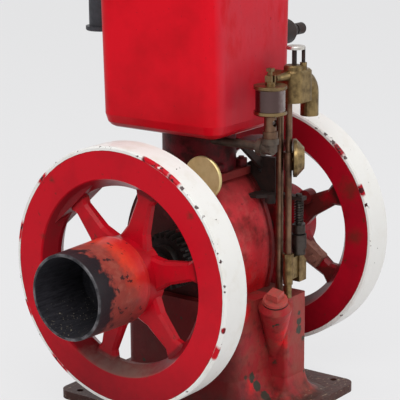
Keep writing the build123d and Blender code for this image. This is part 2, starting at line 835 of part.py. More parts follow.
barrel_top_level = pump_top + barrel_height
with BuildPart() as pump_barrel:
    upright(pump_x, front_y, pump_top, barrel_foot_radius, barrel_foot)
    upright(pump_x, front_y, pump_top + barrel_foot, barrel_radius_pump, barrel_height - barrel_foot)
    with Locations((pump_x, front_y, pump_top + barrel_floor)):
        Cylinder(
            plunger_radius + running_clearance,
            barrel_height,
            align=BASE_UP,
            mode=Mode.SUBTRACT,
        )
pump_barrel.part.label = "pump_barrel"

knuckle_bottom = barrel_top_level + knuckle_gap
plunger_bottom = knuckle_bottom - plunger_insert
with BuildPart() as pump_plunger:
    rod_top = bracket_level + bracket_thickness + rod_proud
    upright(pump_x, front_y, plunger_bottom, plunger_radius, rod_top - plunger_bottom)
    upright(pump_x, front_y, knuckle_bottom, knuckle_radius, knuckle_height)
    with BuildSketch(Plane.XY.offset(knuckle_bottom)):
        with Locations((pump_x + ear_reach, front_y)):
            Circle(ear_radius)
    extrude(amount=knuckle_height)
pump_plunger.part.label = "pump_plunger"

with BuildPart() as pump_bracket:
    with BuildSketch(Plane.XY.offset(bracket_level)):
        with BuildLine():
            Polyline(
                (pump_x - bracket_width / 2, front_y - bracket_nose),
                (pump_x + bracket_width / 2, front_y - bracket_nose),
                (pump_x + bracket_width / 2, governor_front - bracket_nose),
                (case_width / 2 - running_clearance, governor_front),
                (case_width / 2 - running_clearance, cylinder_y),
                (case_width / 4, cylinder_y),
                (case_width / 4, bracket_boss_y + bracket_width),
                (pump_x - bracket_width * 1.5, bracket_boss_y),
                (pump_x - bracket_width / 2, bracket_boss_y - bracket_boss_height),
                close=True,
            )
        make_face()
    extrude(amount=bracket_thickness)
    upright(
        case_width / 2 - bracket_boss_radius - bracket_inset,
        bracket_boss_y,
        bracket_level + bracket_thickness - bracket_boss_height,
        bracket_boss_radius,
        bracket_boss_height,
    )
    add(crankcase.part, mode=Mode.SUBTRACT)
    with Locations((pump_x, front_y, bracket_level)):
        Cylinder(plunger_radius + rod_clearance, 4 * bracket_thickness, mode=Mode.SUBTRACT)
pump_bracket.part.label = "pump_bracket"

# Spring between the plunger's knuckle and the bracket, as a twelve-sided ridged sleeve
spring_bottom = knuckle_bottom + knuckle_height
spring_height = bracket_level - spring_bottom
spring_pitch = spring_height / spring_coils
with BuildPart() as pump_spring:
    with BuildSketch(Plane.XY.offset(spring_bottom)):
        with Locations((pump_x, front_y)):
            RegularPolygon(spring_radius - spring_wire, spring_sides)
    extrude(amount=spring_height)
    for turn in range(spring_coils):
        with BuildSketch(Plane.XY.offset(spring_bottom + (turn + 0.25) * spring_pitch)):
            with Locations((pump_x, front_y)):
                RegularPolygon(spring_radius, spring_sides)
        extrude(amount=spring_pitch / 2)
    with Locations((pump_x, front_y, spring_bottom)):
        Cylinder(
            plunger_radius + running_clearance,
            3 * spring_height,
            mode=Mode.SUBTRACT,
        )
pump_spring.part.label = "pump_spring"

# Tubes beside the fittings
with BuildPart() as feed_tube:
    upright(feed_x, front_y, nut_top, feed_radius, mixer_bottom - nut_top)
    upright(feed_x, front_y, coupling_bottom, coupling_radius, coupling_body)
    upright(feed_x, front_y, coupling_bottom + coupling_body, coupling_ring_radius, coupling_ring)
feed_tube.part.label = "feed_tube"

with BuildPart() as return_tube:
    upright(return_x, return_y, post_top, return_radius, mixer_bottom - post_top)
    add(pump_body.part, mode=Mode.SUBTRACT)
return_tube.part.label = "return_tube"

dish_level = coupling_bottom + coupling_body
with BuildPart() as strainer_dish:
    with Locations(Plane(origin=(feed_x, front_y, dish_level), z_dir=(0.6, -0.8, 0))):
        Cylinder(dish_neck_radius, dish_offset + dish_rim, align=BASE_UP)
        with Locations((0, 0, dish_offset)):
            Cylinder(dish_radius, dish_rim, align=BASE_UP)
        with Locations((0, 0, dish_offset + dish_rim)):
            Cone(dish_radius, dish_face_radius, dish_depth, align=BASE_UP)
    add(feed_tube.part, mode=Mode.SUBTRACT)
strainer_dish.part.label = "strainer_dish"

# Governor bracket on the far side of the crankcase, and its arm
with BuildPart() as governor_bracket:
    with BuildSketch(Plane.YZ.offset(case_width / 2)):
        with BuildLine():
            Polyline(
                (governor_back, governor_bottom),
                (governor_back, case_flange_top),
                (arm_y, governor_top),
                (governor_front, governor_top),
                (governor_front, bracket_level - bracket_inset),
                (governor_front + bracket_nose, governor_bottom),
                close=True,
            )
        make_face()
        with Locations((governor_slot_y, governor_slot_level)):
            Rectangle(governor_slot_width, governor_slot_height, mode=Mode.SUBTRACT)
    extrude(amount=governor_thickness)
    add(pump_bracket.part, mode=Mode.SUBTRACT)
governor_bracket.part.label = "governor_bracket"

with BuildPart() as governor_arm:
    with BuildSketch(Plane.XZ.offset(-arm_y)):
        with BuildLine():
            Polyline(
                (arm_tip_x, arm_tip_level - arm_width),
                (arm_tip_x, arm_tip_level),
                (case_width / 2, arm_root_level + arm_width),
                (case_width / 2, arm_root_level - arm_width),
                close=True,
            )
        make_face()
    extrude(amount=arm_thickness)
governor_arm.part.label = "governor_arm"

made = (
    base,
    filler_plug,
    crankcase,
    main_bearing_near,
    main_bearing_far,
    crankshaft,
    near_flywheel,
    far_flywheel,
    flywheel_pad,
    belt_pulley,
    crank_gear,
    cylinder,
    cylinder_head,
    water_hopper,
    brass_disc,
    muffler,
    exhaust_pipe,
    igniter,
    oiler_pipe,
    oiler_sight,
    oiler_cup,
    oiler_lid,
    oiler_lever,
    mixer_body,
    mixer_cap,
    mixer_post,
    mixer_stop,
    mixer_plate,
    pump_body,
    pump_barrel,
    pump_plunger,
    pump_bracket,
    pump_spring,
    feed_tube,
    return_tube,
    strainer_dish,
    governor_bracket,
    governor_arm,
)
for maker in made:
    export_step(maker.part, "parts/" + maker.part.label + ".step")
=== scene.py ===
"""Looks of the hopper-cooled stationary gas engine: finishes, small fasteners, camera and light."""

import logging
import math
from collections.abc import Callable
from dataclasses import dataclass, field
from enum import Enum
from functools import partial

import bmesh
import bpy
from mathutils import Matrix, Vector


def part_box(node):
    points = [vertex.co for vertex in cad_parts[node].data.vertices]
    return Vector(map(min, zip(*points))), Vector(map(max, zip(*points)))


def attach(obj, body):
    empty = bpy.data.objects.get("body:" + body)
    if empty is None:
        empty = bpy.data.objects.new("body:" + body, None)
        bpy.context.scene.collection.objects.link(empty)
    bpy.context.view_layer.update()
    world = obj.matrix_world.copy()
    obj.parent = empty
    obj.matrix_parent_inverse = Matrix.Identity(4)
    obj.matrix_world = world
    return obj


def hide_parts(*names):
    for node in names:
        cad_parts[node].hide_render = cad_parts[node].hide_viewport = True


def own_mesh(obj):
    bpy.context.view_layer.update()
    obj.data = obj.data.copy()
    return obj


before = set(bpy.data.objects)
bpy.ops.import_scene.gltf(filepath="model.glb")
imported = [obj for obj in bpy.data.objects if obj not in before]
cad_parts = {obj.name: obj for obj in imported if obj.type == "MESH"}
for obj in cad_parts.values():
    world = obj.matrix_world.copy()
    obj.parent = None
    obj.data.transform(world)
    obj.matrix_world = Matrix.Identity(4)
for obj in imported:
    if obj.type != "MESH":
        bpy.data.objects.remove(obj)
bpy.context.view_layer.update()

LOG = logging.getLogger("gas_engine")
MM = 0.001
# Millimetres in the engine's frame: the crankshaft's axis and the wheels' visible faces.
CRANK_HEIGHT = 252.0
NEAR_FACE = -228.3
FAR_FACE = 174.3
# Corners flatter than these many degrees are shaded round: machined pieces, chamfered castings.
MACHINED_ROUND = 34.0
CAST_ROUND = 52.0

# How strongly finer noise roughens a patch's edge, and the noise levels and detail at which
# a front wanders over its whole width.
PATCH_GRAIN = 0.6
FRONT_NOISE = (0.25, 0.75, 5.0)
# Millimetres: a bay of a band's ragged front, the smallest bay of a spot's edge, and one
# stroke of a line painted by hand.
BAND_BAY = 14.0
SPOT_BAY = 3.0
BRUSH_STROKE = 18.0

Socket = bpy.types.NodeSocket
Colour = str | Socket  # an sRGB hex code, or the output that gives the colour
Mask = float | Socket  # from 0 to 1
Place = tuple[float, float, float]
Fade = tuple[float, float]  # where a mask starts and where it is full, in millimetres
Marks = tuple[tuple[Place, float], ...]  # the middle and radius of each mark, in millimetres


def linear(code: str) -> tuple[float, float, float, float]:
    """Turn an sRGB hex code into linear colour.

    Args:
        code: Six hex digits, such as "b5121f".

    Returns:
        Linear red, green and blue with an alpha of 1.
    """
    parts = [int(code[i : i + 2], 16) / 255 for i in (0, 2, 4)]
    values = [p / 12.92 if p <= 0.04045 else ((p + 0.055) / 1.055) ** 2.4 for p in parts]
    return (values[0], values[1], values[2], 1.0)


def add_node(
    tree: bpy.types.NodeTree, kind: str, inputs: dict | None = None, **settings: object
) -> bpy.types.Node:
    """Add a node with its settings and links.

    Args:
        tree: The material's or the room's node tree.
        kind: Blender's name for the node.
        inputs: Socket name or index to a value or to the output that feeds it.
        settings: Properties of the node itself.

    Returns:
        The new node.
    """
    node = tree.nodes.new(kind)
    for key, value in settings.items():
        setattr(node, key, value)
    for key, value in (inputs or {}).items():
        if isinstance(value, Socket):
            tree.links.new(value, node.inputs[key])
        else:
            node.inputs[key].default_value = value
    return node


class Shading:
    """The node tree of one material, with its shader ready to take colours.

    Object coordinates of every CAD node are the engine's own, so marks placed in
    millimetres stay on the piece that carries them when it moves.
    """

    def __init__(self, name: str) -> None:
        """Start an empty material.

        Args:
            name: The finish the material shows.
        """
        self.material = bpy.data.materials.new(name)
        self.material.use_nodes = True
        self.tree = self.material.node_tree
        self.shader = self.tree.nodes["Principled BSDF"]
        self.add: Callable[..., bpy.types.Node] = partial(add_node, self.tree)
        self.place = self.add("ShaderNodeTexCoord").outputs["Object"]

    def patches(
        self,
        size_mm: float,
        low: float,
        high: float,
        detail: float = 4.0,
        seed: float = 0.0,
        stretch: Place = (1.0, 1.0, 1.0),
    ) -> Socket:
        """Make ragged patches of about one real size.

        Args:
            size_mm: Typical width of a patch.
            low: Noise level where a patch starts.
            high: Noise level where it is full.
            detail: Raggedness of the patches' edges.
            seed: Shift that gives each layer its own patches.
            stretch: How many times longer a patch is along each axis.

        Returns:
            A mask from 0 to 1.
        """
        shrink = tuple(1 / s for s in stretch)
        shift = (seed, seed * 0.7, seed * 0.3)
        moved = self.add(
            "ShaderNodeVectorMath", {0: self.place, 1: shrink, 2: shift}, operation="MULTIPLY_ADD"
        ).outputs[0]
        noise = self.add(
            "ShaderNodeTexNoise",
            {
                "Vector": moved,
                "Scale": 1 / (size_mm * MM),
                "Detail": detail,
                "Roughness": PATCH_GRAIN,
            },
        ).outputs[0]
        return self.add(
            "ShaderNodeMapRange", {"Value": noise, "From Min": low, "From Max": high}
        ).outputs[0]

    def wander(self, length: Socket, by_mm: float, bay_mm: float, seed: float) -> Socket:
        """Make a length grow and shrink from place to place, so that a front on it is ragged.

        Args:
            length: The length, in metres.
            by_mm: How much it wanders; 0 leaves it as it is.
            bay_mm: Width of one bay of the front.
            seed: Shift that gives each front its own shape.

        Returns:
            The wandering length, in metres.
        """
        if by_mm == 0:
            return length
        share = self.patches(bay_mm, *FRONT_NOISE, seed)
        return self.add(
            "ShaderNodeMath", {0: share, 1: by_mm * MM, 2: length}, operation="MULTIPLY_ADD"
        ).outputs[0]

    def band(
        self, axis: str, start_mm: float, end_mm: float, ragged_mm: float = 0.0, seed: float = 0.0
    ) -> Socket:
        """Fade in along one axis of the engine, with a ragged front where asked.

        Args:
            axis: "X", "Y" or "Z".
            start_mm: Where the fade starts.
            end_mm: Where it is full; it may lie on either side of the start.
            ragged_mm: How far the front wanders.
            seed: Shift that gives each front its own shape.

        Returns:
            A mask from 0 to 1.
        """
        along = self.add("ShaderNodeSeparateXYZ", {0: self.place}).outputs[axis]
        value = self.wander(along, ragged_mm, BAND_BAY, seed)
        start = (start_mm + ragged_mm / 2) * MM
        end = (end_mm + ragged_mm / 2) * MM
        return self.add(
            "ShaderNodeMapRange", {"Value": value, "From Min": start, "From Max": end}
        ).outputs[0]

    def spot(
        self, middle: Place, reach_mm: float, soft_mm: float, ragged_mm: float, seed: float = 0.0
    ) -> Socket:
        """Mark one worn or stained place.

        Args:
            middle: Centre of the mark, in millimetres.
            reach_mm: Its radius.
            soft_mm: Width of its soft edge.
            ragged_mm: How far its edge wanders.
            seed: Shift that gives each mark its own outline.

        Returns:
            A mask from 0 to 1.
        """
        centre = tuple(v * MM for v in middle)
        away = self.add(
            "ShaderNodeVectorMath", {0: self.place, 1: centre}, operation="DISTANCE"
        ).outputs["Value"]
        value = self.wander(away, ragged_mm, max(reach_mm * 0.7, SPOT_BAY), seed)
        outer = reach_mm + ragged_mm / 2
        return self.add(
            "ShaderNodeMapRange",
            {"Value": value, "From Min": outer * MM, "From Max": (outer - soft_mm) * MM},
        ).outputs[0]

    def ring(self, start_mm: float, end_mm: float, wave_mm: float = 0.0) -> Socket:
        """Fade in with the distance from the crankshaft's axis.

        Args:
            start_mm: Distance where the fade starts.
            end_mm: Where it is full; it may lie on either side of the start.
            wave_mm: How far a line painted by hand waves in and out.

        Returns:
            A mask from 0 to 1.
        """
        axis = (0.0, 0.0, -CRANK_HEIGHT * MM)
        arm = self.add("ShaderNodeVectorMath", {0: self.place, 1: axis}, operation="ADD")
        flat = self.add(
            "ShaderNodeVectorMath", {0: arm.outputs[0], 1: (0, 1, 1)}, operation="MULTIPLY"
        )
        reach = self.add(
            "ShaderNodeVectorMath", {0: flat.outputs[0]}, operation="LENGTH"
        ).outputs["Value"]
        if wave_mm > 0:
            wave = self.patches(BRUSH_STROKE, 0.0, 1.0, 2.0, seed=0.4)
            reach = self.add(
                "ShaderNodeMath", {0: wave, 1: wave_mm * MM, 2: reach}, operation="MULTIPLY_ADD"
            ).outputs[0]
        return self.add(
            "ShaderNodeMapRange",
            {"Value": reach, "From Min": start_mm * MM, "From Max": end_mm * MM},
        ).outputs[0]

    def beside(self, face_mm: float, start_mm: float, end_mm: float) -> Socket:
        """Fade in toward a face that stands across the crankshaft.

        Args:
            face_mm: Where the face stands along the crankshaft.
            start_mm: Distance from the face where the fade starts.
            end_mm: Distance where it is full.

        Returns:
            A mask from 0 to 1.
        """
        along = self.add("ShaderNodeSeparateXYZ", {0: self.place}).outputs["X"]
        past = self.add("ShaderNodeMath", {0: along, 1: -face_mm * MM}, operation="ADD")
        away = self.add("ShaderNodeMath", {0: past.outputs[0]}, operation="ABSOLUTE")
        return self.add(
            "ShaderNodeMapRange",
            {"Value": away.outputs[0], "From Min": start_mm * MM, "From Max": end_mm * MM},
        ).outputs[0]

    def lay(self, under: Colour, over: Colour, *masks: Mask) -> Socket:
        """Lay one colour over another where all the masks agree.

        Args:
            under: Colour below.
            over: Colour on top.
            masks: Sockets or plain shares whose product says how much of the top colour shows.

        Returns:
            The mixed colour.
        """
        share = masks[0]
        for mask in masks[1:]:
            share = self.add(
                "ShaderNodeMath", {0: share, 1: mask}, operation="MULTIPLY"
            ).outputs[0]
        below = linear(under) if isinstance(under, str) else under
        above = linear(over) if isinstance(over, str) else over
        return self.add(
            "ShaderNodeMix", {0: share, 6: below, 7: above}, data_type="RGBA"
        ).outputs[2]

    def surface(
        self,
        colour: Socket,
        rough: Mask,
        relief_mm: float,
        relief_size_mm: float,
        metal: float = 0.0,
        gloss: float = 0.5,
    ) -> None:
        """Fill in the shader.

        Args:
            colour: Base colour.
            rough: Roughness, or a mask that gives it.
            relief_mm: Depth of the surface's fine relief.
            relief_size_mm: Width of one bump.
            metal: 1 for bare metal and 0 for paint.
            gloss: Strength of the mirror-like share; 0.5 is clean paint, less is a greasy one.
        """
        self.tree.links.new(colour, self.shader.inputs["Base Color"])
        if isinstance(rough, Socket):
            self.tree.links.new(rough, self.shader.inputs["Roughness"])
        else:
            self.shader.inputs["Roughness"].default_value = rough
        self.shader.inputs["Metallic"].default_value = metal
        self.shader.inputs["Specular IOR Level"].default_value = gloss
        noise = self.add(
            "ShaderNodeTexNoise",
            {"Vector": self.place, "Scale": 1 / (relief_size_mm * MM), "Detail": 3.0},
        ).outputs[0]
        bump = self.add(
            "ShaderNodeBump", {"Height": noise, "Distance": relief_mm * MM, "Strength": 1.0}
        ).outputs[0]
        self.tree.links.new(bump, self.shader.inputs["Normal"])


@dataclass(frozen=True)
class HopperEnamel:
    """Gloss machine enamel on the hopper's filled and rubbed iron sides."""

    name: str = "hopper_enamel"
    colour: str = "cc0a1d"
    cloud: str = "b90918"
    chalk: str = "b83340"
    shade: str = "6d0a14"
    grit: str = "4a1a18"
    front: Fade = (-88.0, -95.0)
    lower_edge: Fade = (462.0, 450.0)

    def material(self) -> bpy.types.Material:
        """Build the enamel.

        Returns:
            Its material.
        """
        # Deep, even red: the eye reads a thick gloss coat. The whole front is laid paler than the
        # side as a painted reflection, and it has chalked in upright streaks where water ran. The
        # relief is the filler's slow waves under the coat.
        s = Shading(self.name)
        colour = s.lay(self.colour, self.cloud, s.patches(80, 0.42, 0.68))
        front = s.band("Y", *self.front)
        # Painted reflection: the whole front face is laid paler; the streaks after it are chalking.
        colour = s.lay(colour, self.chalk, front, 0.55)
        streaks = s.patches(12, 0.45, 0.75, seed=3.1, stretch=(1, 1, 6))
        colour = s.lay(colour, self.chalk, front, streaks, 0.6)
        runs = s.patches(30, 0.52, 0.66, seed=4.4, stretch=(1, 1, 2.5))
        colour = s.lay(colour, self.cloud, front, runs, 0.8)
        # Painted shade: the lowest edge is laid darker where the hopper rounds under.
        painted_shade_edge = s.band("Z", *self.lower_edge, ragged_mm=6.0, seed=1.3)
        colour = s.lay(colour, self.shade, painted_shade_edge, 0.75)
        colour = s.lay(colour, self.grit, s.patches(5, 0.68, 0.72, seed=5.3), 0.5)
        s.surface(colour, rough=0.3, relief_mm=0.25, relief_size_mm=9.0, gloss=0.1)
        return s.material


@dataclass(frozen=True)
class CrankcaseEnamel:
    """The same enamel on the rough crankcase castings, rubbed with oil for years."""

    name: str = "crankcase_enamel"
    colour: str = "bd3238"
    fresh: str = "d4161f"
    chalk: str = "c2605c"
    oily: str = "682420"
    grease: str = "231614"

    def material(self) -> bpy.types.Material:
        """Build the enamel.

        Returns:
            Its material.
        """
        # Sand-cast iron under thin old enamel: the eye sees a lumpy, satin brown-red with fresher
        # red low down, and black grease thrown over both ends. Both ends are also darkened as
        # painted
        # shade: the gear end where the near wheel shades it, the far end in the dark gap beside the
        # feed tubes. The sand's own grit is under a pixel, so the relief is the casting's 5 mm
        # lumps.
        s = Shading(self.name)
        colour = s.lay(self.colour, self.oily, s.patches(46, 0.46, 0.68, seed=0.6))
        low = s.band("Z", 252.0, 214.0, ragged_mm=24.0, seed=2.2)
        front = s.band("Y", -40.0, -80.0)
        colour = s.lay(colour, self.fresh, low, front, 0.8)
        colour = s.lay(colour, self.chalk, s.patches(26, 0.5, 0.72, seed=3.1), 0.45)
        shoulder = s.band("Z", 330.0, 372.0, ragged_mm=24.0, seed=4.2)
        colour = s.lay(colour, self.oily, shoulder, 0.7)
        flange = s.band("Z", 362.0, 370.0, ragged_mm=4.0, seed=7.0)
        colour = s.lay(colour, self.oily, flange, 0.55)
        colour = s.lay(colour, self.oily, s.patches(7, 0.6, 0.7, seed=6.3), 0.6)
        # Grease, and painted shadow of the near wheel, on the gear end.
        grease_and_wheel_shadow = s.band("X", -44.0, -58.0, ragged_mm=10.0, seed=5.0)
        colour = s.lay(colour, self.grease, grease_and_wheel_shadow, 0.92)
        # Grease, and painted shade of the dark gap beside the feed tubes, on the far end.
        grease_and_shade_far = s.band("X", 40.0, 52.0, ragged_mm=8.0, seed=8.0)
        colour = s.lay(colour, self.grease, grease_and_shade_far, 0.75)
        s.surface(colour, rough=0.42, relief_mm=0.6, relief_size_mm=5.0, gloss=0.12)
        return s.material


@dataclass(frozen=True)
class DarkRed:
    """Dark red enamel: oil soaked in on the nuts, painted shade from the hopper on the cylinder's
    neck.
    """

    name: str
    colour: str
    oil: str

    def material(self) -> bpy.types.Material:
        """Build the enamel.

        Returns:
            Its material.
        """
        # The eye reads a dark maroon with near-black hollows between the casting's lumps: oil
        # soaked in on the nuts, painted shade from the hopper above on the cylinder's neck.
        s = Shading(self.name)
        colour = s.lay(self.colour, self.oil, s.patches(18, 0.42, 0.62, seed=1.9))
        s.surface(colour, rough=0.45, relief_mm=0.5, relief_size_mm=4.0, gloss=0.12)
        return s.material


@dataclass(frozen=True)
class PedestalEnamel:
    """Old enamel on the base, faded brownish and chipped, with grease baked on the foot."""

    name: str = "pedestal_enamel"
    colour: str = "98262a"
    fresh: str = "dc1820"
    faded: str = "8a4238"
    oily: str = "541a1a"
    chip: str = "38362c"
    grease: str = "3d2a25"
    straw: str = "a4937a"
    fresh_marks: Marks = (
        ((10.0, -142.0, 158.0), 20.0),
        ((12.0, -142.0, 134.0), 17.0),
        ((18.0, -136.0, 112.0), 14.0),
        ((-52.0, -110.0, 172.0), 22.0),
        ((-36.0, -112.0, 46.0), 16.0),
        ((-20.0, -150.0, 30.0), 14.0),
        ((46.0, -160.0, 40.0), 12.0),
    )
    chips: Marks = (
        ((-14.0, -130.0, 32.0), 13.0),
        ((-22.0, -122.0, 46.0), 13.0),
        ((-30.0, -116.0, 60.0), 11.0),
        ((-44.0, -114.0, 64.0), 8.0),
        ((8.0, -150.0, 34.0), 7.0),
        ((26.0, -118.0, 74.0), 7.0),
        ((57.0, -141.0, 122.0), 8.0),
        ((57.0, -141.0, 136.0), 7.0),
        ((58.0, -141.0, 150.0), 5.0),
        ((70.0, -141.0, 104.0), 5.0),
    )

    def material(self) -> bpy.types.Material:
        """Build the enamel.

        Returns:
            Its material.
        """
        # Thin hand-brushed enamel over cast iron: the eye reads faded brown-red with a few
        # glossy fresh patches, grey chips, and a foot gone brown with baked oil and dust,
        # where bits of straw are stuck. The straw is drawn 4 mm wide so that it shows.
        s = Shading(self.name)
        colour = s.lay(self.colour, self.faded, s.patches(30, 0.46, 0.68), 0.9)
        colour = s.lay(colour, self.oily, s.patches(22, 0.52, 0.7, seed=9.4), 0.55)
        for middle, size in self.fresh_marks:
            colour = s.lay(colour, self.fresh, s.spot(middle, size, 14.0, 14.0, size), 0.8)
        post_side = s.band("X", 36.0, 44.0, ragged_mm=6.0, seed=2.0)
        post_front = s.band("Y", -134.0, -139.0)
        colour = s.lay(colour, self.faded, post_side, post_front, 0.5)
        post_top = s.band("Z", 181.0, 183.0)
        colour = s.lay(colour, self.grease, post_top, s.band("X", 26.0, 30.0), 0.8)
        # Painted shadow of the near wheel: the base's side under it is laid dark with the oily
        # colour.
        wheel_shadow_side = s.band("X", -40.0, -76.0, ragged_mm=16.0, seed=3.0)
        colour = s.lay(colour, self.oily, wheel_shadow_side, 0.8)
        for middle, size in self.chips:
            colour = s.lay(colour, self.chip, s.spot(middle, size, 1.5, 5.0, size + 3.0))
        colour = s.lay(colour, self.chip, s.patches(20, 0.665, 0.675, 5.0, seed=4.4))
        ankle = s.band("Z", 44.0, 18.0, ragged_mm=26.0, seed=7.0)
        colour = s.lay(colour, self.grease, ankle, s.patches(12, 0.3, 0.6, seed=6.1), 0.75)
        colour = s.lay(colour, self.grease, s.band("Z", 18.5, 15.0), 0.85)
        foot = s.band("Z", 22.0, 15.0, ragged_mm=6.0, seed=1.0)
        stalks = s.patches(4, 0.6, 0.7, 3.0, seed=8.0, stretch=(3, 1, 1))
        colour = s.lay(colour, self.straw, foot, stalks, 0.7)
        s.surface(colour, rough=0.4, relief_mm=0.6, relief_size_mm=6.0, gloss=0.14)
        return s.material


@dataclass(frozen=True)
class WheelEnamel:
    """Flywheel enamel: red on the spokes and faces, white on the tread, chipped along the corners.

    The fades are distances in millimetres from the crankshaft's axis, or from the wheel's
    face for the last two.
    """

    name: str
    face: float
    red: str = "b80a1d"
    dark_red: str = "980d1a"
    deep: str = "5a0b14"
    stain: str = "4b2a1e"
    oily: str = "46201c"
    dust: str = "86746a"
    spoke_darkening: float = 0.25
    white: str = "dddcd8"
    soil: str = "cfcabf"
    chip: str = "3a1a1e"
    white_from: float = 197.2
    brush_wave: float = 1.2
    spokes: Fade = (150.0, 146.0)
    past_spokes: Fade = (134.0, 137.5)
    painted_rim_shade: Fade = (153.0, 151.5)
    rim_inside: Fade = (154.5, 153.5)
    rim_face: Fade = (196.5, 197.2)
    corner: Fade = (197.5, 199.5)
    by_corner: Fade = (6.0, 3.0)
    by_face: Fade = (5.5, 4.5)
    peels: Marks = ()
    knocks: Marks = ()
    stains: Marks = ()

    def material(self) -> bpy.types.Material:
        """Build the enamel.

        Returns:
            Its material.
        """
        # Gloss enamel brushed by hand on machined faces: the eye reads an even bright red,
        # a white tread with one wavy painted edge, and dark chips where the corner was knocked.
        # Brush marks are too fine to show, so the relief is the slow flow of the thick coat.
        s = Shading(self.name)
        colour = self.brush_red(s)
        colour = self.brush_white(s, colour)
        colour = self.knock_corners(s, colour)
        s.surface(colour, rough=0.3, relief_mm=0.2, relief_size_mm=9.0, gloss=0.1)
        return s.material

    def brush_red(self, s: Shading) -> Socket:
        """Lay the red with darker spokes, stains, dust, painted shade and a painted highlight.

        Args:
            s: The material's node tree.

        Returns:
            The colour so far.
        """
        past_spokes = s.ring(*self.past_spokes)
        colour = s.lay(self.red, self.dark_red, s.patches(50, 0.48, 0.72, seed=7.0), 0.5)
        # Painted shade: the lower half of the wheel is laid darker.
        painted_shade_low = s.band("Z", 170.0, 60.0, ragged_mm=30.0, seed=2.0)
        colour = s.lay(colour, self.deep, painted_shade_low, 0.6)
        # Painted shade in the rim's hollow, between the spokes' ends and the rim.
        colour = s.lay(colour, self.deep, s.ring(*self.painted_rim_shade), past_spokes, 0.75)
        colour = s.lay(colour, self.stain, s.patches(11, 0.66, 0.7, seed=12.0), 0.6)
        # The spokes are darkened by a patchy film, by an amount each wheel sets.
        film = s.patches(34, 0.36, 0.6, seed=5.0)
        colour = s.lay(colour, self.oily, s.ring(*self.spokes), film, self.spoke_darkening)
        # Dust on the rim's inner face low down, laid light also as a painted highlight where it
        # faces up.
        dust_and_highlight_low = s.band("Z", 128.0, 104.0, ragged_mm=16.0, seed=8.0)
        colour = s.lay(colour, self.dust, s.ring(*self.rim_inside), past_spokes, dust_and_highlight_low, 0.6)
        for middle, size in self.stains:
            blot = s.spot(middle, size, size * 0.8, size, size)
            colour = s.lay(colour, self.stain, blot, 0.6)
        return colour

    def brush_white(self, s: Shading, colour: Socket) -> Socket:
        """Lay the white tread, with a thin dark line broken along its painted edge.

        Args:
            s: The material's node tree.
            colour: The red below.

        Returns:
            The colour so far.
        """
        # The rings are tenths of a millimetre in and out from the painted edge.
        edge = self.white_from
        white = s.lay(self.white, self.soil, s.patches(30, 0.5, 0.74, seed=9.0), 0.6)
        colour = s.lay(colour, white, s.ring(edge, edge + 0.3, self.brush_wave))
        line_in = s.ring(edge - 0.9, edge - 0.2, self.brush_wave)
        line_out = s.ring(edge + 0.4, edge + 0.1, self.brush_wave)
        broken = s.patches(24, 0.4, 0.5, seed=3.3)
        return s.lay(colour, self.deep, line_in, line_out, broken, 0.7)

    def knock_corners(self, s: Shading, colour: Socket) -> Socket:
        """Chip the corners, and peel and knock the white where the real wheel has lost it.

        Args:
            s: The material's node tree.
            colour: The whole paint below.

        Returns:
            The finished colour.
        """
        corner = s.ring(*self.corner)
        near_corner = s.beside(self.face, *self.by_corner)
        chips = s.patches(13, 0.64, 0.65, 5.0, seed=11.0)
        colour = s.lay(colour, self.chip, corner, near_corner, chips)
        colour = s.lay(colour, self.chip, corner, s.patches(8, 0.7, 0.71, 5.0, seed=13.0))
        rim = s.ring(*self.rim_face)
        near_face = s.beside(self.face, *self.by_face)
        for middle, size in self.peels:
            stretch = s.spot(middle, size, size * 0.35, size * 0.3, size)
            torn = s.patches(34, 0.33, 0.35, 3.0, seed=size)
            colour = s.lay(colour, self.red, stretch, torn, rim, near_face)
            rust = s.patches(12, 0.56, 0.6, 2.0, seed=size + 2.0)
            colour = s.lay(colour, self.chip, stretch, rust, rim, near_face, 0.9)
        for middle, size in self.knocks:
            colour = s.lay(colour, self.chip, s.spot(middle, size, 0.8, size, size), 0.92)
        return colour


